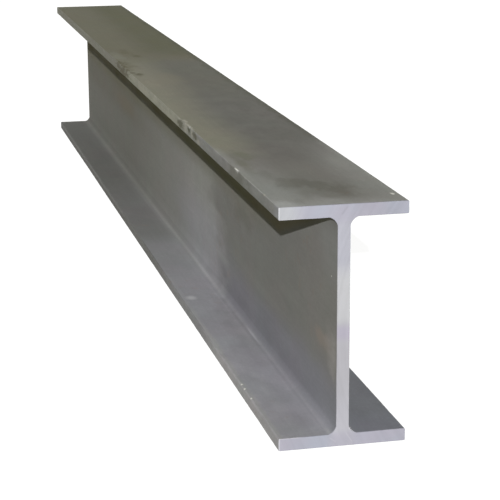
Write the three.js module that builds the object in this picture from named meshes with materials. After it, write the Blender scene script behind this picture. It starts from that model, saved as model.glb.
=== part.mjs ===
// A steel I-beam: one length of hot-rolled, parallel-flange beam, sawn square at both ends.
//
// Millimetres, +Z up. X runs along the length, Y across the flanges, Z up the web.
// The origin is under the middle of the beam, on the face that it rests on.

import * as THREE from 'three';

// Driving dimensions
const LENGTH = 1524;            // 5 ft, a length that cut stock is sold in
const SECTION_HEIGHT = 203.2;   // 8 in, over both flanges
const FLANGE_WIDTH = 108;
const FLANGE_THICKNESS = 10.6;
const WEB_THICKNESS = 10.8;
const ROOT_LEG = 6.6;           // reach of a root fillet along the web and the flange
const ROOT_RADIUS = 9.5;        // its radius, larger than the leg, so the fillet is shallow
const OUTER_TOE_RADIUS = 0.8;   // eased arris of a flange, on its outer face
const INNER_TOE_RADIUS = 1.0;   // eased arris of a flange, on the side towards the web

// Facets on each rounded corner, two for each of these
const CORNER_STEPS = 5;

const halfWidth = FLANGE_WIDTH / 2;
const halfWeb = WEB_THICKNESS / 2;
const rootOverhang = halfWidth - halfWeb;
const clearWebHeight = SECTION_HEIGHT - 2 * FLANGE_THICKNESS;

// A corner is no rounder than the steel beside it allows: a toe's two arrises share
// the flange's thickness, and the two root fillets of a side share the web's height.
const thinToe = Math.min(FLANGE_THICKNESS, rootOverhang) * 0.49;
const outerToe = Math.min(OUTER_TOE_RADIUS, thinToe);
const innerToe = Math.min(INNER_TOE_RADIUS, thinToe);
const rootLeg = Math.min(ROOT_LEG, clearWebHeight * 0.49, rootOverhang - innerToe);
const rootRadius = Math.max(ROOT_RADIUS, rootLeg);

// How far the centre of a root's arc stands off the web and the flange. A radius equal
// to the leg would meet both faces squarely; a larger one meets them at a slight angle.
const rootOffset = (rootLeg + Math.sqrt(2 * rootRadius ** 2 - rootLeg ** 2)) / 2;
const rootAngle = Math.asin((rootOffset - rootLeg) / rootRadius);

// The rolled section, in the YZ plane, drawn anticlockwise from the bottom face. The
// right-hand side goes up from the bottom flange, and the left-hand side comes down
// again, as the same six corners turned half a turn about the section's middle.
function rolledSection() {
  const outline = new THREE.Shape();
  const middle = SECTION_HEIGHT / 2;

  // An arc about (y, z), placed for the right-hand side and turned round for the left.
  const corner = (side, y, z, radius, from, to, clockwise) => {
    const turn = side > 0 ? 0 : Math.PI;
    const upright = middle + side * (z - middle);
    outline.absarc(side * y, upright, radius, from + turn, to + turn, clockwise);
  };
  // A root fillet is hollow, so its arc runs the other way round.
  const rootFillet = (side, z, from, to) => {
    corner(side, halfWeb + rootOffset, z, rootRadius, from, to, true);
  };

  const quarter = Math.PI / 2;
  const top = SECTION_HEIGHT;
  const underTop = SECTION_HEIGHT - FLANGE_THICKNESS;
  for (const side of [1, -1]) {
    // Bottom flange: its toe, outer arris first, then in along its upper face
    corner(side, halfWidth - outerToe, outerToe, outerToe, -quarter, 0, false);
    corner(side, halfWidth - innerToe, FLANGE_THICKNESS - innerToe, innerToe, 0, quarter, false);
    // The two root fillets, with the web's face between them
    rootFillet(side, FLANGE_THICKNESS + rootOffset, -quarter - rootAngle, -2 * quarter + rootAngle);
    rootFillet(side, underTop - rootOffset, 2 * quarter - rootAngle, quarter + rootAngle);
    // Top flange: its toe, inner arris first
    corner(side, halfWidth - innerToe, underTop + innerToe, innerToe, -quarter, 0, false);
    corner(side, halfWidth - outerToe, top - outerToe, outerToe, 0, quarter, false);
  }
  outline.closePath();
  return outline;
}

// The beam is the section carried along its length. The section is extruded along its
// own third axis, so it is turned to bring that axis onto X and the web upright.
function rolledBeam() {
  const geometry = new THREE.ExtrudeGeometry(rolledSection(), {
    depth: LENGTH,
    curveSegments: CORNER_STEPS,
    bevelEnabled: false,
  });
  geometry.translate(0, 0, -LENGTH / 2);
  const across = new THREE.Vector3(0, 1, 0);
  const up = new THREE.Vector3(0, 0, 1);
  const along = new THREE.Vector3(1, 0, 0);
  geometry.applyMatrix4(new THREE.Matrix4().makeBasis(across, up, along));
  return geometry;
}

// Steel as it leaves the mill, under its grey-olive scale
const millScaleSteel = new THREE.MeshStandardMaterial({
  name: 'mill_scale_steel',
  color: 0x6e6e67,
  roughness: 0.62,
  metalness: 0.45,
});

const beam = new THREE.Mesh(rolledBeam(), millScaleSteel);
beam.name = 'beam';

const iBeam = new THREE.Group();
iBeam.add(beam);

export default iBeam;
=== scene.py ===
from math import asin, cos, degrees, pi, radians, sin, sqrt

import bpy
import numpy as np
from mathutils import Matrix, Vector


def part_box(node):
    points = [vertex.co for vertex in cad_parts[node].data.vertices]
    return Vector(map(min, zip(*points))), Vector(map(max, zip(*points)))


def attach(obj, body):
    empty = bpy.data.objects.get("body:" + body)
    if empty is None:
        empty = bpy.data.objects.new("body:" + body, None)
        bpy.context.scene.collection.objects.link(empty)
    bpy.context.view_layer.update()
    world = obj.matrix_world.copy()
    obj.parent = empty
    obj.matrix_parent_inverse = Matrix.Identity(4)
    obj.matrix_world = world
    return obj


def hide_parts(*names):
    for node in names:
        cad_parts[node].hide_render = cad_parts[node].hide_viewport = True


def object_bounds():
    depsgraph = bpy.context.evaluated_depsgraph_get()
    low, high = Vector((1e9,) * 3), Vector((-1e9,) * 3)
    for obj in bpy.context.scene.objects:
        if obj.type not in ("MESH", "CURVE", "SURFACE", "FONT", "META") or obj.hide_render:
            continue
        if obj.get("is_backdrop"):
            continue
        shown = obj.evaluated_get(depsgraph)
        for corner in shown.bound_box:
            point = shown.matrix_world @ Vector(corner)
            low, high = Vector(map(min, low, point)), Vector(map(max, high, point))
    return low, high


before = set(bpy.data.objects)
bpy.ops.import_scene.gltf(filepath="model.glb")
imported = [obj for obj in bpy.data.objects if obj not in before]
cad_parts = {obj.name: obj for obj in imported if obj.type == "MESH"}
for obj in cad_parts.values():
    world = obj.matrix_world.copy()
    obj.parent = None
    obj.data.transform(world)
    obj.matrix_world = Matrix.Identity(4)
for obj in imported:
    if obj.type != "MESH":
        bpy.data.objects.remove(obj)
cad_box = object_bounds()


# ---- The beam's shape -----------------------------------------------------------------
# One length of hot-rolled steel: two flanges, the web and four root fillets in a single
# piece. The rolls leave the toes' arrises eased but uneven, and handling in the yard has
# dented them. Both ends are sawn square, and the saw leaves a thin burr round the cut.
MM = 0.001
low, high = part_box("beam")
LENGTH = high.x - low.x
HEIGHT = high.z - low.z
WIDTH = high.y - low.y
FLANGE = 10.6 * MM
WEB = 10.8 * MM
ROOT_LEG = 6.6 * MM                     # reach of a root fillet along web and flange
ROOT_RADIUS = 9.5 * MM                  # its radius, larger, so the fillet is shallow
OUTER_TOE_RADIUS = 0.8 * MM
INNER_TOE_RADIUS = 1.0 * MM

TOE_STEPS = 3                                            # facets on a toe's arris
ROOT_STEPS = 8                                           # facets on a root fillet
NEAR_ARRIS = [0.5 * MM, 1.3 * MM, 2.6 * MM, 5.0 * MM]    # rows of points beside an arris
NEAR_SHARE = 0.45                                        # the part of a face they may take
WIDEST_STRIP = 14.0 * MM                                 # the widest gap between two rows


def rows_between(start, end, fine_start, fine_end):
    """The points along a flat stretch of the outline, closest together beside an arris."""
    length = (end - start).length
    near = [d for d in NEAR_ARRIS if d < NEAR_SHARE * length]
    places = [0.0, length]
    places += [d for d in near if fine_start]
    places += [length - d for d in near if fine_end]
    places.sort()
    points = []
    for here, there in zip(places, places[1:]):
        parts = max(1, round((there - here) / WIDEST_STRIP))
        points += [start.lerp(end, (here + (there - here) * i / parts) / length)
                   for i in range(parts)]
    return points[1:]


def rolled_section():
    """The section's outline, anticlockwise, as points (y, z), and the eight arrises of
    its toes, each as its middle and the direction into the steel."""
    toe, web = WIDTH / 2, WEB / 2
    outer, inner = OUTER_TOE_RADIUS, INNER_TOE_RADIUS
    under = HEIGHT - FLANGE
    root = (ROOT_LEG + sqrt(2 * ROOT_RADIUS ** 2 - ROOT_LEG ** 2)) / 2
    slant = degrees(asin((root - ROOT_LEG) / ROOT_RADIUS))
    corners = [      # centre y and z, radius, first angle, turn; from the bottom flange up
        (toe - outer, outer, outer, -90, 90),
        (toe - inner, FLANGE - inner, inner, 0, 90),
        (web + root, FLANGE + root, ROOT_RADIUS, 270 - slant, 2 * slant - 90),
        (web + root, under - root, ROOT_RADIUS, 180 - slant, 2 * slant - 90),
        (toe - inner, under + inner, inner, -90, 90),
        (toe - outer, HEIGHT - outer, outer, 0, 90),
    ]
    arcs, arrises = [], []
    for side in (1, -1):
        for y, z, radius, first, turn in corners:
            centre = Vector((side * y, HEIGHT / 2 + side * (z - HEIGHT / 2)))
            on_toe = turn > 0
            steps = TOE_STEPS if on_toe else ROOT_STEPS
            points = []
            for i in range(steps + 1):
                angle = radians(first + turn * i / steps) + (0 if side > 0 else pi)
                points.append(centre + radius * Vector((cos(angle), sin(angle))))
            if on_toe:
                middle = (points[0] + points[-1]) / 2
                arrises.append((middle, (centre - middle).normalized()))
            arcs.append((points, on_toe))
    outline = []
    for (points, on_toe), (after, after_on_toe) in zip(arcs, arcs[1:] + arcs[:1]):
        outline += points
        outline += rows_between(points[-1], after[0], on_toe, after_on_toe)
    return np.array([tuple(p) for p in outline]), arrises


# Stations along the beam, from the back end to the front, closer near the front
FRONT, BACK = LENGTH / 2, -LENGTH / 2
COARSE_STEP = 3.3 * MM
FINE_STEP = 2.0 * MM
FINE_LENGTH = 340 * MM
CUT_ARRIS = 0.3 * MM                    # the broken arris round each saw cut
BACK_MARGIN = 2 * MM                    # the evenly spaced stations keep this far from
FRONT_MARGIN = 1.5 * MM                 # the back end, and this far from the front end

beside_cut = np.array([CUT_ARRIS, 1.0 * MM])
coarse = np.arange(BACK + BACK_MARGIN, FRONT - FINE_LENGTH, COARSE_STEP)
fine = np.arange(FRONT - FINE_LENGTH, FRONT - FRONT_MARGIN, FINE_STEP)
stations = np.concatenate([BACK + beside_cut, coarse, fine, FRONT - beside_cut[::-1]])

outline, arrises = rolled_section()
around = len(outline)
rings = np.empty((len(stations), around, 3))
rings[:, :, 0] = stations[:, None]
rings[:, :, 1:] = outline

# Every arris is rubbed back unevenly and has small dents. The ones that show most are
# placed: on which arris, and in millimetres how far from the front end, how long, how deep.
SEED = 11
UPPER_LEFT = 4                          # the place of that arris in the list of eight
KNOCKS = [
    (UPPER_LEFT, 152, 14, 0.6), (UPPER_LEFT, 235, 14, 0.2), (UPPER_LEFT, 338, 14, 0.2),
    (UPPER_LEFT, 354, 5, 0.3), (UPPER_LEFT, 369, 9, 0.7), (UPPER_LEFT, 387, 6, 0.4),
    (UPPER_LEFT, 415, 20, 0.3), (UPPER_LEFT, 745, 16, 0.3), (UPPER_LEFT, 825, 40, 0.6),
]
KNOCK_PITCH = 2.5 * MM                  # of the unevenness inside a dent
STRAY_KNOCKS = 12                       # small dents on each arris, at random
STRAY_LONG = (3, 9)                     # their least and greatest length and depth,
STRAY_DEEP = (0.03, 0.12)               # in millimetres like those of the placed ones
STRAY_MARGIN = 5                        # and how far they keep from the ends
WEAR_REACH = 2.2 * MM
WEAR_DEPTH = 0.25 * MM
WEAR_PITCHES = (6 * MM, 60 * MM)
BRIGHT_DEPTH = 1.0 * MM                 # wear as deep as this is bare metal
rng = np.random.default_rng(SEED)


def uneven(pitch):
    """A random height from 0 to 1 at each station, smooth over about that pitch."""
    knots = np.arange(BACK - pitch, FRONT + 2 * pitch, pitch)
    return np.interp(stations, knots, rng.random(len(knots)))


rubbed = np.zeros((len(stations), around))
for number, (middle, inward) in enumerate(arrises):
    depth = WEAR_DEPTH * uneven(WEAR_PITCHES[0]) * uneven(WEAR_PITCHES[1])
    knocks = [knock[1:] for knock in KNOCKS if knock[0] == number]
    knocks += [(rng.uniform(STRAY_MARGIN, LENGTH / MM - STRAY_MARGIN),
                rng.uniform(*STRAY_LONG), rng.uniform(*STRAY_DEEP))
               for _ in range(STRAY_KNOCKS)]
    for place, long, deep in knocks:
        off = (FRONT - place * MM - stations) / (long * MM / 2)
        depth += deep * MM * np.exp(-off ** 2) * (0.7 + 0.6 * uneven(KNOCK_PITCH))
    distance = np.hypot(*(outline - np.array(tuple(middle))).T)
    reach = np.exp(-(distance / WEAR_REACH) ** 2)
    rings[:, :, 1:] += (depth[:, None] * reach)[:, :, None] * np.array(tuple(inward))
    rubbed = np.maximum(rubbed, np.clip(depth / BRIGHT_DEPTH, 0, 1)[:, None] * reach)

# The toes are not quite straight: each stands back up to a quarter millimetre in places
TOE_SWAY = 0.25 * MM
SWAY_PITCH = 170 * MM
for side in (1, -1):
    sway = TOE_SWAY * uneven(SWAY_PITCH)
    share = np.clip(side * outline[:, 0] / (WIDTH / 2), 0, 1) ** 2
    rings[:, :, 1] -= side * sway[:, None] * share

# The cut ends: the outline, drawn in by the broken arris, closes each end
ARRIS_SHARES = (0.4, 1.2)               # the least and the most of the broken arris
before, after = np.roll(outline, 1, axis=0), np.roll(outline, -1, axis=0)
tangent = (after - before) / np.linalg.norm(after - before, axis=1)[:, None]
outward = np.stack([tangent[:, 1], -tangent[:, 0]], axis=1)
cuts = []
for place, beside in ((BACK, rings[0]), (FRONT, rings[-1])):
    cut = beside.copy()
    cut[:, 0] = place
    cut[:, 1:] -= outward * (CUT_ARRIS * rng.uniform(*ARRIS_SHARES, around))[:, None]
    cuts.append(cut)
rings = np.concatenate([cuts[0][None], rings, cuts[1][None]])
rubbed = np.concatenate([rubbed[:1], rubbed, rubbed[-1:]])

faces = []
for ring in range(len(rings) - 1):
    here, there = ring * around, (ring + 1) * around
    for i in range(around):
        j = (i + 1) % around
        faces.append((here + i, here + j, there + j, there + i))
faces.append(tuple(reversed(range(around))))
faces.append(tuple(range((len(rings) - 1) * around, len(rings) * around)))

SHARP_ANGLE = 35
mesh = bpy.data.meshes.new("rolled_beam")
mesh.from_pydata(rings.reshape(-1, 3).tolist(), [], faces)
mesh.shade_smooth()
mesh.set_sharp_from_angle(angle=radians(SHARP_ANGLE))
wear = mesh.attributes.new("rubbed", "FLOAT", "POINT")
wear.data.foreach_set("value", rubbed.reshape(-1).astype(np.float32))
beam = bpy.data.objects.new("rolled_beam", mesh)
bpy.context.scene.collection.objects.link(beam)


# ---- The beam's rolled skin -------------------------------------------------------------
# Mill scale: the thin, hard oxide that forms while the bar cools. It is grey with an
# olive cast, cloudy, streaked along the length, scuffed bright at the arrises and freckled
# with rust where it has chipped.
class Wire:
    """One output of a shader node. Arithmetic on it adds Math nodes to its material."""

    def __init__(self, tree, socket=None):
        self.tree = tree
        self.socket = socket

    def node(self, kind, settings=None, inputs=None, output=0):
        """Adds a node, sets it up, fills its sockets by name or number, and returns one
        of its outputs."""
        made = self.tree.nodes.new("ShaderNode" + kind)
        for name, value in (settings or {}).items():
            setattr(made, name, value)
        for name, value in (inputs or {}).items():
            if isinstance(value, Wire):
                self.tree.links.new(value.socket, made.inputs[name])
            else:
                made.inputs[name].default_value = value
        return Wire(self.tree, made.outputs[output] if made.outputs else None)

    def maths(self, operation, first, second):
        return self.node("Math", {"operation": operation}, {0: first, 1: second})

    def __add__(self, other):
        return self.maths("ADD", self, other)

    def __radd__(self, other):
        return self.maths("ADD", other, self)

    def __sub__(self, other):
        return self.maths("SUBTRACT", self, other)

    def __rsub__(self, other):
        return self.maths("SUBTRACT", other, self)

    def __mul__(self, other):
        return self.maths("MULTIPLY", self, other)

    def __rmul__(self, other):
        return self.maths("MULTIPLY", other, self)

    def __abs__(self):
        return self.node("Math", {"operation": "ABSOLUTE"}, {0: self})

    def rise(self, start, end):
        """0 up to start and 1 past end, with a smooth slope between. End may be less."""
        if start > end:
            return 1 - self.rise(end, start)
        return self.node("MapRange", {"interpolation_type": "SMOOTHSTEP"},
                         {"Value": self, "From Min": start, "From Max": end})

    def cover(self, mask, over):
        """This colour, covered by another where the mask is 1."""
        return self.mix(mask, self, over)

    def mix(self, mask, first, second):
        """The first colour where the mask is 0, and the second where it is 1."""
        return self.node("Mix", {"data_type": "RGBA"}, {0: mask, 6: first, 7: second},
                         output=2)

    def shade(self, amount):
        """This colour, times a number."""
        return self.node("VectorMath", {"operation": "SCALE"}, {0: self, "Scale": amount})


def srgb(red, green, blue):
    """A colour given as screen values, 0 to 255, as the linear one that a shader takes."""
    parts = [c / 255 for c in (red, green, blue)]
    return (*[c / 12.92 if c <= 0.04045 else ((c + 0.055) / 1.055) ** 2.4
              for c in parts], 1.0)


def new_material(name):
    """An empty material: what to add its nodes to, and a function that ends it."""
    material = bpy.data.materials.new(name)
    material.use_nodes = True
    material.node_tree.nodes.clear()
    start = Wire(material.node_tree)

    def finish(shader):
        start.node("OutputMaterial", {}, {"Surface": shader})
        return material
    return start, finish


def place_on_piece(wires):
    """The place on the piece in metres, as a vector and as its x, y and z."""
    place = wires.node("TexCoord", output="Object")
    parts = wires.node("SeparateXYZ", {}, {0: place}).socket.node.outputs
    return (place, *[Wire(wires.tree, parts[i]) for i in range(3)])


SOOT = srgb(80, 80, 69)
CHALK = srgb(228, 228, 222)             # the white of a fresh chip
RUST = srgb(146, 104, 80)


def mill_scale():
    """The material of all but the cut ends. Places in it are in millimetres: back from the
    front end, left of the middle of the beam, and up from the floor."""
    steel, finish = new_material("mill_scale")
    place, x, y, z = place_on_piece(steel)
    back = (FRONT - x) * (1 / MM)
    left = y * (-1 / MM)
    up = z * (1 / MM)

    def noise(scale, detail=2.0, roughness=0.5, along=1.0):
        """Cloudy noise from 0 to 1; an along under 1 draws it out lengthwise."""
        stretched = steel.node("VectorMath", {"operation": "MULTIPLY"},
                               {0: place, 1: (along, 1, 1)})
        cloud = steel.node("TexNoise", {}, {"Vector": stretched, "Scale": scale,
                                            "Detail": detail, "Roughness": roughness})
        return cloud.rise(0.28, 0.72)

    clouds = noise(8, 4, 0.55, along=0.5)
    mottle = noise(30, 4, 0.55, along=0.6)
    ragged = noise(60, 4, 0.65, along=0.6)
    grain = noise(450, 3, 0.6, along=0.5)
    chipped = noise(260, 4, 0.75, along=0.6)
    drawn = noise(420, 2, 0.6, along=0.012)  # the faint lines that the rolls draw
    wander = 26 * (clouds - 0.5) + 22 * (mottle - 0.5)
    roam = back + wander                     # for soft borders that wander lengthwise

    def patch(spot, size, soft=0.8, fray=0.6, edge=ragged):
        """A soft patch with a frayed edge: its middle, and how far it reaches from there,
        each as back, left and up."""
        off = steel.node("CombineXYZ", {}, {0: (back - spot[0]) * (1 / size[0]),
                                            1: (left - spot[1]) * (1 / size[1]),
                                            2: (up - spot[2]) * (1 / size[2])})
        far = steel.node("VectorMath", {"operation": "LENGTH"}, {0: off}, output="Value")
        return (far + fray * (edge - 0.5)).rise(1.0, 1.0 - soft)

    def patches(spots, **how):
        """Several patches, each a spot and a size, as one mask."""
        mask = patch(*spots[0], **how)
        for spot in spots[1:]:
            mask = steel.maths("MAXIMUM", mask, patch(*spot, **how))
        return mask

    top, toe, web, flange = HEIGHT / MM, WIDTH / 2 / MM, WEB / 2 / MM, FLANGE / MM
    off_middle = abs(left)
    on_top = up.rise(top - 1.2, top - 0.4)
    on_toe = off_middle.rise(toe - 1.3, toe - 0.5)
    low_half = up.rise(101, 99)
    root_zone = off_middle.rise(web + 9, web + 4) * off_middle.rise(web + 0.5, web + 3)

    def web_colour():
        """Plain at the front with a lilac foot, pale in the middle, olive far back, darker
        along its top, and with painted shadow where the top flange shades it."""
        colour = steel.mix(back.rise(40, 170), srgb(125, 124, 123), srgb(118, 118, 117))
        front_part = (roam + 5 - 50 * up.rise(88, 98)).rise(485, 400)
        pale = steel.mix(up.rise(60, 110), srgb(143, 143, 148), srgb(138, 138, 137))
        colour = colour.cover((1 - front_part) * roam.rise(860, 540), pale)
        foot = steel.mix(roam.rise(60, 260), srgb(130, 130, 138), srgb(122, 122, 129))
        colour = colour.cover(front_part * (up + 0.4 * wander).rise(74, 38), foot)
        colour = colour.cover((roam + 60 * up.rise(60, 25)).rise(600, 800) * 0.6,
                              srgb(124, 124, 121))
        far = steel.mix(up.rise(75, 100), srgb(107, 107, 103), srgb(102, 101, 95))
        colour = colour.cover(roam.rise(740, 1100), far)
        # A bright spot and two dull ones where the pale part begins, and a pale corner
        colour = colour.cover(patch((440, web, 47), (42, 6, 8), fray=0.4) * 0.5,
                              srgb(140, 144, 144))
        colour = colour.cover(patch((430, web, 32), (24, 6, 9), fray=0.4) * 0.3,
                              srgb(108, 107, 111))
        colour = colour.cover(patch((452, web, 60), (26, 6, 10), fray=0.4) * 0.35,
                              srgb(118, 118, 117))
        colour = colour.cover(patch((16, web, 166), (60, 6, 44), fray=0.3) * 0.6,
                              srgb(136, 137, 138))
        streaks = patches([((150, web, 86), (70, 6, 9)), ((250, web, 62), (170, 6, 9)),
                           ((35, web, 120), (40, 6, 10))], fray=1.2, soft=1.0)
        colour = colour.cover(streaks * 0.2, srgb(136, 137, 134))
        stains = patches([((345, web, 115), (80, 6, 17)), ((1150, web, 112), (190, 6, 22))],
                         soft=1.0, fray=0.4)
        colour = colour.cover(stains * 0.45, srgb(102, 100, 93))
        # Darker and more olive along the web's top, below the flange
        run = up.rise(112, 134) * back.rise(170, 300)
        darker_top_tone = steel.mix(roam.rise(450, 1050), srgb(114, 113, 105), srgb(95, 93, 78))
        colour = colour.cover(run * 0.78, darker_top_tone)
        right_side = steel.mix(clouds, srgb(113, 112, 110), srgb(127, 126, 125))
        colour = colour.cover(left.rise(1, -1) * 0.8, right_side)
        # Painted shadow: the web darker and more olive where the top flange's shadow falls on
        # it. Its border falls from the front end backwards, and runs level past the end of that
        # fall
        shade_slope, shade_fall = 0.315, 193
        fallen = shade_slope * steel.maths("MINIMUM", back, shade_fall)
        flange_shadow_mask = (up + fallen).rise(193, 200) * left.rise(-1, 1)
        flange_shadow_colour = steel.mix(back.rise(190, 380), srgb(120, 116, 103), srgb(103, 102, 80))
        flange_shadow_colour = flange_shadow_colour.cover(back.rise(600, 900), srgb(92, 88, 63))
        colour = colour.cover(flange_shadow_mask, flange_shadow_colour)
        return colour

    def inner_face_colour():
        """The flanges' inner faces: pale and blue at the front, dull from half way back."""
        colour = steel.mix(mottle, srgb(146, 146, 152), srgb(151, 151, 158))
        colour = colour.cover(off_middle.rise(36, 24) * roam.rise(330, 240) * 0.7,
                              srgb(142, 141, 149))
        colour = colour.cover(roam.rise(190, 330), srgb(143, 143, 149))
        # Duller in two places beside the left root, and then step by step to the far end
        colour = colour.cover(patch((300, 18, flange), (150, 19, 9), fray=0.15) * 0.8,
                              srgb(133, 132, 137))
        colour = colour.cover(patch((395, 18, flange), (64, 14, 9), soft=1.0) * 0.5,
                              srgb(126, 125, 130))
        colour = colour.cover(roam.rise(400, 640), srgb(129, 129, 132))
        colour = colour.cover(roam.rise(645, 740), srgb(112, 112, 112))
        colour = colour.cover(roam.rise(780, 1100), srgb(99, 99, 97))
        # The roots: a painted highlight from the pale part back, darker far back, and brighter
        # on a length of the left one and at the front
        root = steel.mix(roam.rise(480, 650), srgb(150, 150, 153), srgb(123, 123, 123))
        root = root.cover(roam.rise(740, 960), srgb(101, 101, 98))
        colour = colour.cover(root_zone * roam.rise(415, 465) * 0.75, root)
        colour = colour.cover(patch((280, 10.6, flange + 1), (38, 1.8, 3), fray=0.3) * 0.4,
                              srgb(172, 172, 178))
        colour = colour.cover(root_zone * roam.rise(30, 8) * 0.6, srgb(160, 160, 166))
        lower_right = steel.mix(back.rise(10, 60), srgb(109, 111, 120), srgb(103, 105, 111))
        colour = colour.cover(left.rise(0, -2) * up.rise(40, 30) * 0.85, lower_right)
        # A painted highlight along the lower flange's left edge, strongest near the front
        edge_highlight = (left + 3 * (mottle - 0.5)).rise(toe - 6, toe - 1.5)
        colour = colour.cover(edge_highlight * roam.rise(640, 200) * 0.4,
                              srgb(160, 160, 156))
        return colour

    def top_colour():
        """Beige to the left and far back, plain to the right, pale at the front."""
        colour = steel.mix(mottle, srgb(101, 100, 96), srgb(108, 107, 104))
        colour = colour.cover(roam.rise(420, 700) * 0.6, srgb(103, 103, 94))
        beige_side = (left + 16 * (clouds - 0.5)).rise(-10, 46) * roam.rise(150, 260)
        colour = colour.cover(beige_side * 0.95, srgb(129, 127, 115))
        colour = colour.cover(patch((690, 16, top), (80, 24, 9)) * 0.25, srgb(134, 129, 114))
        colour = colour.cover(roam.rise(790, 900) * 0.85, srgb(106, 104, 91))
        far_right = roam.rise(840, 960) * left.rise(20, -24) * 0.8 + roam.rise(880, 930) * 0.2
        colour = colour.cover(far_right, srgb(93, 93, 77))
        colour = colour.cover(patch((935, 32, top), (38, 12, 9)) * 0.5, srgb(92, 90, 72))
        # Painted sheen: paler towards the front end and the edges, most of all in the left
        # corner
        colour = colour.cover(roam.rise(210, 120), srgb(115, 114, 110))
        front_sheen = off_middle.rise(8, 48) * (roam + 0.6 * left).rise(290, 110)
        colour = colour.cover(front_sheen * 0.85, srgb(137, 137, 135))
        colour = colour.cover((roam - 0.3 * left).rise(44, 6), srgb(147, 147, 146))
        colour = colour.cover(patch((48, 42, top), (70, 26, 9)) * 0.5, srgb(143, 144, 143))
        colour = colour.cover(patch((6, 50, top), (26, 22, 9)) * 0.7, srgb(168, 169, 170))
        colour = colour.cover(patch((165, -42, top), (52, 12, 9)) * 0.5, srgb(142, 142, 139))
        greenish = patches([((175, 43, top), (46, 10, 9)), ((208, 34, top), (46, 10, 9))])
        colour = colour.cover(greenish * 0.45, srgb(103, 105, 87))
        # More painted sheen along the side edges near the front
        rim = off_middle.rise(44, 51) * roam.rise(300, 210) * (back - left).rise(20, 90)
        colour = colour.cover(rim * 0.5, srgb(150, 151, 148))
        # A dark smudge across the front, with faint ones beside it
        smudges = patches([((86, 20, top), (27, 20, 9)), ((70, 1, top), (25, 16, 9)),
                           ((55, -12, top), (34, 17, 9))], soft=0.7)
        colour = colour.cover(smudges * 0.36, srgb(80, 77, 67))
        faint = patches([((68, 31, top), (17, 9, 9)), ((124, 33, top), (38, 9, 9)),
                         ((16, 32, top), (18, 12, 9))], soft=1.0)
        colour = colour.cover(faint * 0.2, srgb(82, 80, 72))
        # Soot along the right edge and in spots to the left, far back
        right_edge = (off_middle + 10 * (ragged - 0.5)).rise(43, 52) * left.rise(0, -1)
        colour = colour.cover(right_edge * (0.1 + 0.4 * back.rise(180, 400)), SOOT)
        colour = colour.cover(patch((905, 46, top), (46, 12, 9)) * 0.5, srgb(127, 128, 118))
        sooty = patches([((805, 47, top), (60, 16, 9)), ((896, 21, top), (18, 9, 9)),
                         ((730, 45, top), (20, 10, 9))], soft=0.9)
        colour = colour.cover(sooty * 0.45, srgb(82, 79, 58))
        return colour

    def toe_colour():
        """The lower toes pale at the front, the upper ones beige from half way back."""
        upper_toe = steel.mix(roam.rise(290, 460), srgb(131, 131, 131), srgb(145, 144, 135))
        upper_toe = upper_toe.cover(roam.rise(720, 880), srgb(126, 125, 118))
        lower_part = up.rise(top - 3, top - 8)
        upper_toe = upper_toe.shade(1.02 - 0.07 * lower_part * roam.rise(330, 260))
        upper_toe = upper_toe.cover(roam.rise(30, 6), srgb(146, 146, 151))
        upper_toe = upper_toe.cover(patch((145, toe, top - 5), (62, 4, 14)) * 0.8,
                                    srgb(112, 112, 106))
        lower_toe = steel.mix(roam.rise(215, 330), srgb(163, 162, 167), srgb(137, 137, 141))
        lower_toe = lower_toe.cover(roam.rise(390, 650), srgb(113, 113, 113))
        lower_toe = lower_toe.cover(roam.rise(720, 900) * up.rise(8, 5), srgb(102, 102, 101))
        return steel.mix(low_half, upper_toe, lower_toe)

    # The faces joined, with painted shade and highlight in the roots and on the toes' arrises
    colour = web_colour()
    colour = colour.cover(off_middle.rise(web + 1.5, web + 6), inner_face_colour())
    # Painted shade in the roots' hollows and beside them, and a painted highlight at their foot
    root_painted_shade = (up.rise(flange + 8, flange + 4.5) * off_middle.rise(web + 4.5, web + 1.8)
               * roam.rise(430, 520))
    root_foot_painted_highlight = (off_middle.rise(web + 3.5, web + 6) * off_middle.rise(web + 11, web + 8)
                 * low_half * roam.rise(680, 780))
    beside_root_painted_shade = (up.rise(flange + 26, flange + 8) * off_middle.rise(web + 10.5, web + 7)
               * roam.rise(30, 100) * roam.rise(520, 430) * low_half)
    colour = colour.shade(1 - 0.23 * root_painted_shade + 0.12 * root_foot_painted_highlight - 0.12 * beside_root_painted_shade)
    # The top painted a little darker, to offset the rear lamp's light on it
    colour = colour.cover(on_top, top_colour().shade(0.94))
    colour = colour.cover(on_toe, toe_colour())
    # A painted highlight on the upper arrises near the front; painted shade on them further
    # back, and on the lower toes' upper arrises all along, where they catch the light
    upper_arris = (off_middle + up).rise(toe + top - 1.1, toe + top - 0.6)
    foot_arris = low_half * on_toe * up.rise(flange - 0.9, flange - 0.3)
    colour = colour.cover(upper_arris * roam.rise(170, 110) * 0.3, srgb(168, 168, 164))
    colour = colour.shade(1 - 0.2 * upper_arris * roam.rise(180, 330) - 0.22 * foot_arris)

    # Cloud and grain over everything, and the faint green and pink of thin scale
    tint = steel.mix(noise(17, 3, 0.5), srgb(255, 215, 225), srgb(215, 255, 225))
    colour = steel.node("Mix", {"data_type": "RGBA", "blend_type": "MULTIPLY"},
                        {0: 0.06, 6: colour, 7: tint}, output=2)
    colour = colour.shade(0.91 + 0.085 * mottle + 0.045 * ragged + 0.05 * grain)
    speckle = noise(150, 2, 0.6, along=0.4)
    flecks = (grain + 0.6 * mottle).rise(0.95, 1.3)
    colour = colour.shade(1 + 0.14 * on_toe * (speckle - 0.5) + 0.035 * (drawn - 0.5)
                          + 0.08 * flecks * (chipped - 0.45))

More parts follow.
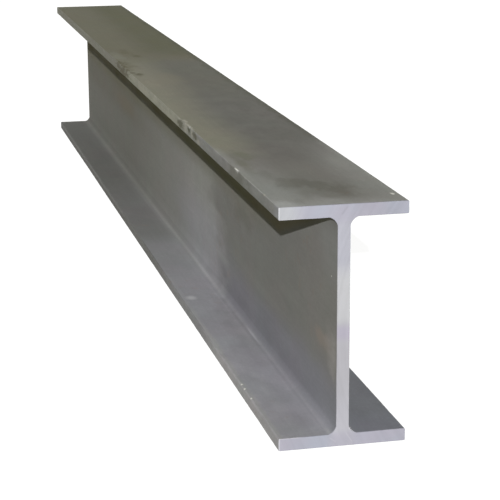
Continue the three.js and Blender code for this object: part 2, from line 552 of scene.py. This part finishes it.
    # Rust: faint blooms and small freckles
    blooms = patches([((36, web, 78), (44, 6, 12)), ((215, -toe, 8), (20, 4, 6))],
                     soft=1.0, fray=0.8)
    colour = colour.cover(blooms * 0.3, srgb(158, 143, 132))
    colour = colour.cover(patch((10, web, 75), (30, 6, 30), soft=1.0) * 0.75,
                          srgb(154, 151, 151))
    colour = colour.cover(patch((1110, web, 106), (130, 6, 18), fray=0.3) * 0.5,
                          srgb(106, 99, 86))
    freckles = noise(75).rise(0.9, 0.99) * noise(5).rise(0.6, 0.95)
    colour = colour.cover(freckles * 0.07, RUST)

    # Knocks on the upper left toe: light where the steel was raised, dark where struck
    raised = patches([((354, toe, top - 4.5), (6, 4, 6)), ((387, toe, top - 4), (9, 4, 6.5)),
                      ((371, toe - 1, top), (17, 2.5, 1.5)), ((321, toe, top - 7), (9, 3, 3)),
                      ((402, toe - 2.5, top), (14, 2.5, 1.5)), ((48, toe, top), (6, 2, 1.5))],
                     soft=0.6, fray=0.7, edge=chipped)
    colour = colour.cover(raised * 0.7, srgb(160, 158, 149))
    colour = colour.cover(patch((233, toe, top), (18, 4, 3.5), edge=chipped) * 0.4,
                          srgb(146, 147, 143))
    scraped = patches([((485, toe, top - 7.5), (60, 3, 4)), ((565, toe, top - 4), (24, 4, 6)),
                       ((640, toe, top - 6), (50, 4, 5))], fray=0.9, edge=chipped)
    colour = colour.cover(scraped * 0.6, srgb(158, 156, 146))
    struck = patches([((339, toe, top - 4), (16, 3, 4.5)), ((369, toe, top - 3.4), (9, 3, 5)),
                      ((415, toe, top - 5), (22, 3, 5.5))],
                     soft=0.6, fray=0.8, edge=chipped)
    colour = colour.cover(struck * 0.85, srgb(90, 89, 76))
    far_struck = patches([((800, toe, top - 6), (64, 5, 9)), ((838, toe, top - 1), (30, 10, 8)),
                          ((805, toe, top), (30, 6, 5)), ((772, toe, top), (14, 6, 5))],
                         fray=1.0, edge=chipped)
    colour = colour.cover(far_struck * 0.75, srgb(76, 72, 54))
    streak = patches([((748, toe - 4, top), (13, 6, 3)), ((736, toe - 10, top), (13, 6, 3))],
                     edge=chipped)
    colour = colour.cover(streak * 0.55, srgb(66, 63, 45))
    core = patch((369, toe, top - 3.2), (6.5, 3, 3.6), fray=0.5, edge=chipped)
    colour = colour.cover(core * 0.7, srgb(66, 68, 52))

    # Bright metal where the arrises are rubbed, and white chips
    worn = steel.node("Attribute", {"attribute_name": "rubbed"}, output="Fac")
    bright = (worn * (0.4 + 1.2 * chipped)).rise(0.2, 0.8) * (1 - 0.9 * roam.rise(600, 700))
    colour = colour.cover(bright * 0.5, srgb(170, 170, 165))
    chips = patches([((152, toe - 0.6, top), (10, 1.6, 1.2)), ((27, 6 - toe, top), (5, 2.2, 2)),
                     ((139, toe - 1, flange), (2, 1.5, 1.5)),
                     ((127, toe - 1, flange), (2, 1.5, 1.5)),
                     ((101, toe - 1, flange), (2.5, 1.5, 1.5)), ((17, web, 140), (0.9, 1, 0.9))],
                    soft=0.6, fray=0.5, edge=chipped)
    colour = colour.cover(chips * 0.75, CHALK)
    pale_chip = patch((422, 44, flange), (11, 8, 3), soft=1.0, fray=0.3)
    colour = colour.cover(pale_chip * 0.4, srgb(205, 205, 208))

    pits = noise(900, 2, 0.7)
    dimples = noise(110, 3, 0.5, along=0.5)
    bump = steel.node("Bump", {}, {"Strength": 0.3, "Distance": 0.05 * MM,
                                   "Height": pits + dimples + 0.3 * drawn}, output="Normal")
    shader = steel.node("BsdfPrincipled", {}, {
        "Base Color": colour, "Metallic": 0.5 * bright,
        "Roughness": 0.7 + 0.1 * mottle - 0.2 * bright,
        "Specular IOR Level": 0.06, "Normal": bump})
    return finish(shader)


# ---- The beam's sawn ends ---------------------------------------------------------------
# Bare steel, cut by a large circular saw whose centre passes to the right of the web. The
# teeth leave fine arcs across the face, with a cool, slightly lilac sheen.
def sawn_steel():
    """The material of the cut ends. Places in it are in millimetres: across from the middle
    of the beam to its right, and up from the floor."""
    steel, finish = new_material("sawn_steel")
    place, _, y, z = place_on_piece(steel)
    across = y * (1 / MM)
    up = z * (1 / MM)
    saw_centre = (0.0, 190 * MM, 95 * MM)
    off = steel.node("VectorMath", {"operation": "SUBTRACT"}, {0: place, 1: saw_centre})
    flat = steel.node("VectorMath", {"operation": "MULTIPLY"}, {0: off, 1: (0, 1, 1)})
    radius = steel.node("VectorMath", {"operation": "LENGTH"}, {0: flat}, output="Value")

    def arcs(pitch, detail):
        """Streaks round the saw's centre, about that far apart, from 0 to 1."""
        noise = steel.node("TexNoise", {"noise_dimensions": "1D"}, {
            "W": radius, "Scale": 1 / pitch, "Detail": detail, "Roughness": 0.6})
        return noise.rise(0.25, 0.75)

    def stroke(middle, slope, long, wide):
        """A short straight mark: its middle, and its slope in degrees."""
        off_y, off_z = across - middle[0], up - middle[1]
        along = off_y * cos(radians(slope)) + off_z * sin(radians(slope))
        beside = off_z * cos(radians(slope)) - off_y * sin(radians(slope))
        return abs(along).rise(long / 2, long / 4) * abs(beside).rise(wide / 2, 0)

    def clouds(scale):
        """Soft clouds from 0 to 1."""
        noise = steel.node("TexNoise", {}, {"Vector": place, "Scale": scale, "Detail": 3})
        return noise.rise(0.35, 0.65)

    fine_marks = arcs(0.9 * MM, 2)
    broad_marks = arcs(5 * MM, 3)
    cloud, sheen = clouds(22), clouds(46)
    off_middle = abs(across)
    flange = FLANGE / MM
    on_bottom_flange = up.rise(flange + 3.4, flange - 1.6)

    # The flanges bluish and lilac in clouds; the web pale at its waist and lilac half way
    on_web = off_middle.rise(12, 6) * abs(up - 100).rise(94, 84)
    waist = up.rise(100, 111) * up.rise(160, 138)
    web_colour = steel.mix(up.rise(100, 150), srgb(143, 142, 146), srgb(142, 142, 149))
    web_colour = web_colour.cover(up.rise(50, 30), srgb(146, 145, 150))
    web_colour = web_colour.cover(abs(up - 97).rise(10, 2) * 0.7, srgb(141, 137, 149))
    colour = steel.mix(cloud, srgb(136, 138, 147), srgb(140, 138, 147))
    upper_left = across.rise(-28, -48) * up.rise(150, 190)
    colour = colour.cover(upper_left, srgb(145, 146, 149))
    colour = colour.cover(on_web, web_colour.cover(waist, srgb(152, 152, 154)))
    under_web = off_middle.rise(16, 6) * on_bottom_flange
    colour = colour.cover(under_web * 0.5, srgb(144, 140, 147))

    # The burr: along the left toes, and in part along the flanges' inner edges
    burr = (across - 0.3 * sheen).rise(-52.6, -53.5)
    burr += stroke((-46, 10.4), 0, 28, 1.2) + stroke((-47, 192.8), 0, 24, 1.2)
    colour = colour.cover(burr * 0.6, srgb(180, 180, 183))

    # Two light scratches at the foot of the web, and a dark gouge at its head
    scratches = stroke((-8.2, 5.9), -37, 8, 1.6) + stroke((5.8, 6.8), -57, 13, 1.6)
    colour = colour.cover(scratches * 0.35, srgb(158, 157, 162))
    gouge = stroke((0.4, 198), 52, 11, 3)
    upright = steel.node("VectorMath", {"operation": "MULTIPLY"},
                         {0: place, 1: (0, 1, 0.03)})
    strokes = steel.node("TexNoise", {}, {"Vector": upright, "Scale": 420, "Detail": 2})
    strokes = strokes.rise(0.3, 0.7) * on_web
    dull = (abs(across - 26).rise(32, 12) * up.rise(180, 190) * 1.5
            + off_middle.rise(18, 34) * on_bottom_flange * 0.7)
    colour = colour.shade(0.96 + 0.02 * fine_marks + 0.02 * broad_marks + 0.03 * sheen
                          + 0.025 * strokes - 0.1 * gouge - 0.05 * dull
                          + 0.075 * up.rise(60, 10))

    bump = steel.node("Bump", {}, {"Strength": 0.15, "Distance": 0.08 * MM,
                                   "Height": fine_marks + 0.1 * broad_marks},
                      output="Normal")
    shader = steel.node("BsdfPrincipled", {}, {
        "Base Color": colour, "Metallic": 1.0, "Roughness": 0.48 + 0.03 * broad_marks,
        "Normal": bump})
    return finish(shader)


mesh.materials.append(mill_scale())
mesh.materials.append(sawn_steel())
SAWN = 1
front_cut = (len(rings) - 2) * around   # its broken arris, and then both end faces
for polygon in mesh.polygons:
    if polygon.index < around or polygon.index >= front_cut:
        polygon.material_index = SAWN
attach(beam, "root")
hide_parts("beam")


# ---- Floor and light --------------------------------------------------------------------
# A plain white floor that keeps the beam's shadow, a lamp from beside the camera, a soft
# low one from behind for the far side and end, and an even fill.
FLOOR_SIZE = 60.0
FLOOR_GAP = 0.2 * MM                    # under the beam, so that no two faces coincide
corner = FLOOR_SIZE / 2
floor_mesh = bpy.data.meshes.new("floor")
floor_mesh.from_pydata([(-corner, -corner, 0), (corner, -corner, 0),
                        (corner, corner, 0), (-corner, corner, 0)], [], [(0, 1, 2, 3)])
floor = bpy.data.objects.new("floor", floor_mesh)
floor.location.z = -FLOOR_GAP
bpy.context.scene.collection.objects.link(floor)
floor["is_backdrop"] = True


def seen_directly(wires):
    """1 for what the camera sees, itself or in metal or glass, and 0 for the light that
    falls on things."""
    rays = wires.node("LightPath").socket.node.outputs
    seen = [Wire(wires.tree, rays[name])
            for name in ("Is Camera Ray", "Is Glossy Ray", "Is Transmission Ray")]
    return wires.maths("MAXIMUM", seen[0], wires.maths("MAXIMUM", seen[1], seen[2]))


FLOOR_SEEN = 0.20                       # how much of the floor's look takes the shadow
FLOOR_BOUNCE = (0.25, 0.24, 0.15)       # the colour that it lights the beam as
FLOOR_GLOW = 0.93
plane, finish_plane = new_material("floor_white")
seen = seen_directly(plane)
matt = plane.node("BsdfDiffuse", {}, {"Color": plane.mix(
    seen, (*FLOOR_BOUNCE, 1), (FLOOR_SEEN, FLOOR_SEEN, FLOOR_SEEN, 1))})
glow = plane.node("Emission", {}, {"Strength": FLOOR_GLOW * seen})
floor_mesh.materials.append(finish_plane(plane.node("AddShader", {}, {0: matt, 1: glow})))

FILL = (0.130, 0.127, 0.080)            # even light on the beam; the camera sees white
world = bpy.data.worlds.new("studio")
world.use_nodes = True
world.node_tree.nodes.clear()
bpy.context.scene.world = world
sky = Wire(world.node_tree)
light = sky.node("Background", {}, {"Color": sky.mix(
    seen_directly(sky), (*FILL, 1), (1, 1, 1, 1))})
sky.node("OutputWorld", {}, {"Surface": light})


def lamp(name, towards, strength, softness):
    """A sun lamp: the direction to it, and the angle in degrees that softens its shadows."""
    light = bpy.data.lights.new(name, "SUN")
    light.energy = strength
    light.angle = radians(softness)
    holder = bpy.data.objects.new(name, light)
    holder.rotation_euler = Vector(towards).to_track_quat("Z", "Y").to_euler()
    bpy.context.scene.collection.objects.link(holder)


lamp("key", towards=(0.925, -0.237, 0.299), strength=6.6, softness=0.4)
lamp("rear", towards=(-0.5, 0.86, 0.04), strength=2.6, softness=10)


# ---- Camera -----------------------------------------------------------------------------
# Left of the beam, a little above it, looking along it from the front end.
IMAGE_SIDE = 500
FOCAL_LENGTH = 1641.5                                       # in pixels of that image
CAMERA_PLACE = Vector((5.973, -1.745, 2.421)) * HEIGHT      # from under the front end
FORWARD = Vector((-0.94383, 0.2161, -0.24996)).normalized()
ACROSS = Vector((0.22443, 0.97448, -0.00497))
camera_data = bpy.data.cameras.new("camera")
camera_data.lens = FOCAL_LENGTH / IMAGE_SIDE * camera_data.sensor_width
camera_data.clip_start = 0.05
camera = bpy.data.objects.new("camera", camera_data)
right = (ACROSS - ACROSS.dot(FORWARD) * FORWARD).normalized()
axes = Matrix((right, right.cross(FORWARD), -FORWARD)).transposed()
camera.matrix_world = Matrix.Translation(
    Vector((FRONT, 0, 0)) + CAMERA_PLACE) @ axes.to_4x4()
bpy.context.scene.collection.objects.link(camera)
bpy.context.scene.camera = camera
bpy.context.scene.view_settings.view_transform = "Standard"

boxes = {"cad": cad_box, "visual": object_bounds()}
{name: [list(corner) for corner in box] for name, box in boxes.items()}
